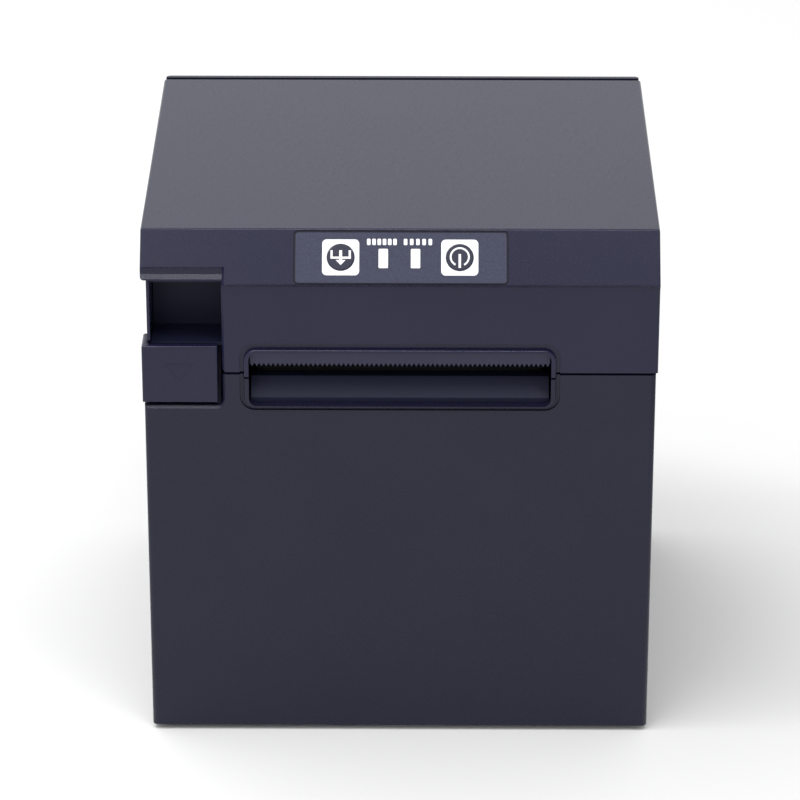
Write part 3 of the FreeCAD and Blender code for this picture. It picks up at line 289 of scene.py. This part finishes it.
def flat_piece(name, loops, thick, matrix, body, material):
    """A thin flat piece cut to closed loops; inner loops are holes."""
    curve = bpy.data.curves.new(name, "CURVE")
    curve.dimensions = "2D"
    curve.fill_mode = "BOTH"
    curve.extrude = thick / 2
    for loop in loops:
        spline = curve.splines.new("POLY")
        spline.points.add(len(loop) - 1)
        for point, (x, y) in zip(spline.points, loop):
            point.co = (x, y, 0.0, 1.0)
        spline.use_cyclic_u = True
    piece = bpy.data.objects.new(name, curve)
    bpy.context.scene.collection.objects.link(piece)
    piece.matrix_world = matrix
    curve.materials.append(material)
    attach(piece, body)


def key_surround(name, x):
    """The white square printed round a key."""
    outer = rounded_box_points(x - FRAME_HALF, x + FRAME_HALF, -KEY_DOWN - FRAME_HALF,
                               -KEY_DOWN + FRAME_HALF, FRAME_CORNER)
    inner = ring_points((x, -KEY_DOWN), KEY_RADIUS + KEY_GAP)
    flat_piece(name, [outer, inner], 0.00004, strip_matrix(FILM_TOP + 0.00003), "lid",
               WHITE_INK)


def film_gap_shade_line():
    """A painted shade line round the edge of the printed film, standing in for the shade in the
    gap around it.
    """
    low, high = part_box("panel_overlay")
    left, right = low[0] + SHADE_LINE_INSET, high[0] - SHADE_LINE_INSET
    outer = rounded_box_points(left, right, FILM_LOW, FILM_HIGH, FILM_CORNER)
    inner = rounded_box_points(left + SHADE_LINE_WIDE, right - SHADE_LINE_WIDE, FILM_LOW + SHADE_LINE_WIDE,
                               FILM_HIGH - SHADE_LINE_WIDE, 0.0008)
    flat_piece("film_gap_shade_line", [outer, inner], 0.00002, strip_matrix(FILM_TOP + 0.00002), "lid",
               DARK_INK_AND_SHADE)


def lamp_captions():
    """A row of small generic bars over each lamp, where the printed words would be."""
    low, high, half = -0.0046, -0.0028, 0.0005
    for name, middle, count, pitch in (("left_caption", -0.0050, 6, 0.00144),
                                       ("right_caption", 0.0049, 5, 0.0017)):
        bars = []
        for step in range(count):
            x = middle + (step - (count - 1) / 2) * pitch
            bars.append(rounded_box_points(x - half, x + half, low, high, 0.0003))
        flat_piece(name, bars, 0.00003, strip_matrix(FILM_TOP + 0.00003), "lid",
                   WHITE_INK)


def feed_symbol():
    """An arrow coming down into an open tray."""
    x, y = KEY_LEFT, -KEY_DOWN
    half, lip, bar = 0.0028, 0.0006, 0.0006
    top, floor_y = y + 0.0019, y - 0.0005
    tray = [(x - half, top), (x - half, floor_y), (x + half, floor_y), (x + half, top),
            (x + half - lip, top), (x + half - lip, floor_y + bar),
            (x - half + lip, floor_y + bar), (x - half + lip, top)]
    shaft, head, tip = 0.0004, 0.00137, y - 0.0023
    neck = tip + 0.00145
    arrow = [(x - shaft, top), (x - shaft, neck), (x - head, neck), (x, tip), (x + head, neck),
             (x + shaft, neck), (x + shaft, top)]
    matrix = strip_matrix(CAP_TOP + 0.00002)
    flat_piece("feed_symbol_tray", [tray], 0.00004, matrix, "feed_button", WHITE_INK)
    matrix = strip_matrix(CAP_TOP + 0.00004)
    flat_piece("feed_symbol_arrow", [arrow], 0.00005, matrix, "feed_button", WHITE_INK)


def power_symbol():
    """A ring open at the bottom, with a short bar in the gap."""
    x, y = KEY_RIGHT, -KEY_DOWN + 0.0001
    outer = ring_points((x, y), 0.00275, -62, 242)
    inner = ring_points((x, y), 0.00225, 242, -62)
    half = 0.00034
    bar = [(x - half, y + 0.0008), (x - half, y - 0.0031), (x + half, y - 0.0031),
           (x + half, y + 0.0008)]
    matrix = strip_matrix(CAP_TOP + 0.00002)
    flat_piece("power_symbol_ring", [outer + inner], 0.00004, matrix, "power_button",
               WHITE_INK)
    flat_piece("power_symbol_bar", [bar], 0.00005, matrix, "power_button", WHITE_INK)


# ---------------------------------------------------------------- rear and socket details

def rear_matrix(height):
    """Places flat work on the rear wall: X to the viewer's right, Y up, Z out of it."""
    turn = Matrix(((-1.0, 0.0, 0.0), (0.0, 0.0, 1.0), (0.0, 1.0, 0.0))).to_4x4()
    return Matrix.Translation((0.0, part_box("body_shell")[1][1] + height, 0.0)) @ turn


def rear_mark(name, loops):
    flat_piece(name, loops, 0.00006, rear_matrix(0.00004), "base", GREY_INK)


def rear_label():
    """A plain silver label with rows of bars in place of print."""
    left, right, low, high = -0.026, 0.026, 0.074, 0.100
    margin, row_pitch, row_high = 0.003, 0.0042, 0.0016
    flat_piece("rating_label", [rounded_box_points(left, right, low, high, 0.0015)], 0.00006,
               rear_matrix(0.00004), "base", LABEL)
    rows = []
    for row, share in enumerate((0.55, 0.9, 0.75, 0.85, 0.4)):
        top = high - 0.004 - row * row_pitch
        end = left + margin + share * (right - left - 2 * margin)
        rows.append(rounded_box_points(left + margin, end, top - row_high, top, 0.0004))
    flat_piece("rating_label_bars", rows, 0.00004, rear_matrix(0.0001), "base", DARK_INK_AND_SHADE)


def socket_middle(node):
    """The middle of a socket as seen from behind, where X is mirrored, and its top."""
    low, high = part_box(node)
    return -(low[0] + high[0]) / 2, high[2]


def socket_icons():
    """One small common symbol over each socket."""
    up, half = 0.0050, 0.0019
    x, top = socket_middle("power_socket")
    y = top + up
    rear_mark("power_icon", [ring_points((x, y), half), ring_points((x, y), half - 0.0004),
                             ring_points((x, y), 0.0007)])
    x, top = socket_middle("network_socket")
    y = top + up
    rear_mark("network_icon", [
        rounded_box_points(x - 0.0008, x + 0.0008, y + 0.0005, y + 0.0019, 0.0002),
        rounded_box_points(x - 0.0024, x - 0.0008, y - 0.0019, y - 0.0005, 0.0002),
        rounded_box_points(x + 0.0008, x + 0.0024, y - 0.0019, y - 0.0005, 0.0002)])
    x, top = socket_middle("usb_socket")
    y = top + up
    rear_mark("usb_icon", [
        rounded_box_points(x - 0.0003, x + 0.0003, y - 0.0022, y + 0.0012, 0.0002),
        [(x - 0.0008, y + 0.0013), (x + 0.0008, y + 0.0013), (x, y + 0.0026)],
        ring_points((x, y - 0.0026), 0.0005, steps=24)])
    x, top = socket_middle("drawer_socket")
    y = top + up
    rear_mark("drawer_icon", [
        rounded_box_points(x - 0.0026, x + 0.0026, y - half, y + half, 0.0004),
        rounded_box_points(x - 0.0022, x + 0.0022, y - half + 0.0004, y + half - 0.0004, 0.0003),
        rounded_box_points(x - 0.0009, x + 0.0009, y - 0.0003, y + 0.0003, 0.0002)])


def small_box(name, low, high, body, material):
    """A box between two corners, with its edges broken."""
    bpy.ops.mesh.primitive_cube_add(size=1.0)
    item = bpy.context.object
    item.name = name
    item.scale = [high[axis] - low[axis] for axis in range(3)]
    item.location = [(high[axis] + low[axis]) / 2 for axis in range(3)]
    bpy.ops.object.transform_apply(location=False, rotation=False, scale=True)
    soften = item.modifiers.new("Soften", "BEVEL")
    soften.width = 0.2 * min(high[axis] - low[axis] for axis in range(3))
    soften.segments = 2
    item.data.materials.append(material)
    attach(item, body)


def socket_contacts():
    """Rows of gilt spring contacts along the roof of the two plug sockets."""
    pitch, half, thick = 0.00102, 0.00022, 0.0004
    for node, count in (("network_socket", 8), ("drawer_socket", 6)):
        low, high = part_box(node)
        middle = (low[0] + high[0]) / 2
        top = high[2] - 0.0036
        for index in range(count):
            x = middle + (index - (count - 1) / 2) * pitch
            small_box(f"{node}_contact_{index}", (x - half, high[1] - 0.0085, top - thick),
                      (x + half, high[1] - 0.0015, top), "base", GOLD)


def usb_tongue():
    """The square tongue in the middle of the data socket's mouth."""
    low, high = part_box("usb_socket")
    middle = (low[0] + high[0]) / 2
    centre_z, half_wide, half_high = high[2] - 0.0053, 0.0026, 0.0015
    small_box("usb_tongue", (middle - half_wide, high[1] - 0.0093, centre_z - half_high),
              (middle + half_wide, high[1] - 0.0015, centre_z + half_high), "base",
              MATERIALS["component_black"])


# ---------------------------------------------------------------- studio

def set_stage():
    """A plain pale floor under an even white surround."""
    bpy.ops.mesh.primitive_plane_add(size=12.0, location=(0.0, 0.0, -0.0001))
    floor = bpy.context.object
    floor.name = "floor"
    material, shader = new_material("Floor")
    cloud = noise(material, 3.0, 2.0)
    link(material, ramp(material, cloud, (0.74, 0.74, 0.74), (0.76, 0.76, 0.76)),
         shader.inputs["Base Color"])
    shader.inputs["Roughness"].default_value = 0.9
    floor.data.materials.append(material)
    world = bpy.data.worlds.new("Studio")
    bpy.context.scene.world = world
    world.use_nodes = True
    back = world.node_tree.nodes["Background"]
    back.inputs["Color"].default_value = (1.0, 1.0, 1.0, 1.0)
    back.inputs["Strength"].default_value = 0.75


def soft_light(name, location, target, size, power):
    """A rectangular lamp aimed at a point."""
    data = bpy.data.lights.new(name, "AREA")
    data.shape = "RECTANGLE"
    data.size, data.size_y = size
    data.energy = power
    lamp = bpy.data.objects.new(name, data)
    lamp.location = location
    aim = Vector(target) - Vector(location)
    lamp.rotation_euler = aim.to_track_quat("-Z", "Y").to_euler()
    bpy.context.scene.collection.objects.link(lamp)


def set_lights():
    """Five soft lamps. The narrow one draws the bright lines along the front edges."""
    soft_light("key", (-0.45, -0.72, 0.95), (0.0, 0.0, 0.08), (0.5, 0.5), 1.6)
    soft_light("front", (-0.45, -1.45, 0.75), (0.0, 0.0, 0.1), (0.7, 0.5), 1.5)
    soft_light("overhead", (-0.9, 0.4, 1.2), (0.0, 0.0, 0.05), (1.8, 1.4), 9.6)
    soft_light("edge", (-0.15, -0.4, 1.4), (0.0, -0.06, 0.1), (1.6, 0.12), 11.0)
    soft_light("back", (0.0, 1.6, 0.82), (0.0, 0.0, 0.12), (3.0, 1.2), 3.7)


def set_camera():
    """A long lens looking down at the front by 24.6 degrees."""
    elevation = math.radians(24.57)
    yaw = math.radians(0.32)
    roll = math.radians(0.03)
    distance, across, down = 1.160, -0.00004, -0.04705
    forward = Vector((-math.sin(yaw) * math.cos(elevation),
                      math.cos(yaw) * math.cos(elevation), -math.sin(elevation)))
    right = Vector((math.cos(yaw), math.sin(yaw), 0.0))
    up = right.cross(forward)
    right_r = math.cos(roll) * right + math.sin(roll) * up
    up_r = -math.sin(roll) * right + math.cos(roll) * up
    data = bpy.data.cameras.new("Camera")
    data.lens = 189.9
    data.sensor_width = 36.0
    camera = bpy.data.objects.new("Camera", data)
    bpy.context.scene.collection.objects.link(camera)
    place = FOLD + across * right_r + down * up_r - distance * forward
    turn = Matrix((right_r, up_r, -forward)).transposed().to_4x4()
    camera.matrix_world = Matrix.Translation(place) @ turn
    bpy.context.scene.camera = camera


dress_nodes()
key_surround("feed_key_surround", KEY_LEFT)
key_surround("power_key_surround", KEY_RIGHT)
film_gap_shade_line()
lamp_captions()
feed_symbol()
power_symbol()
rear_label()
socket_icons()
socket_contacts()
usb_tongue()
set_stage()
set_lights()
set_camera()
bpy.context.scene.view_settings.view_transform = "Standard"
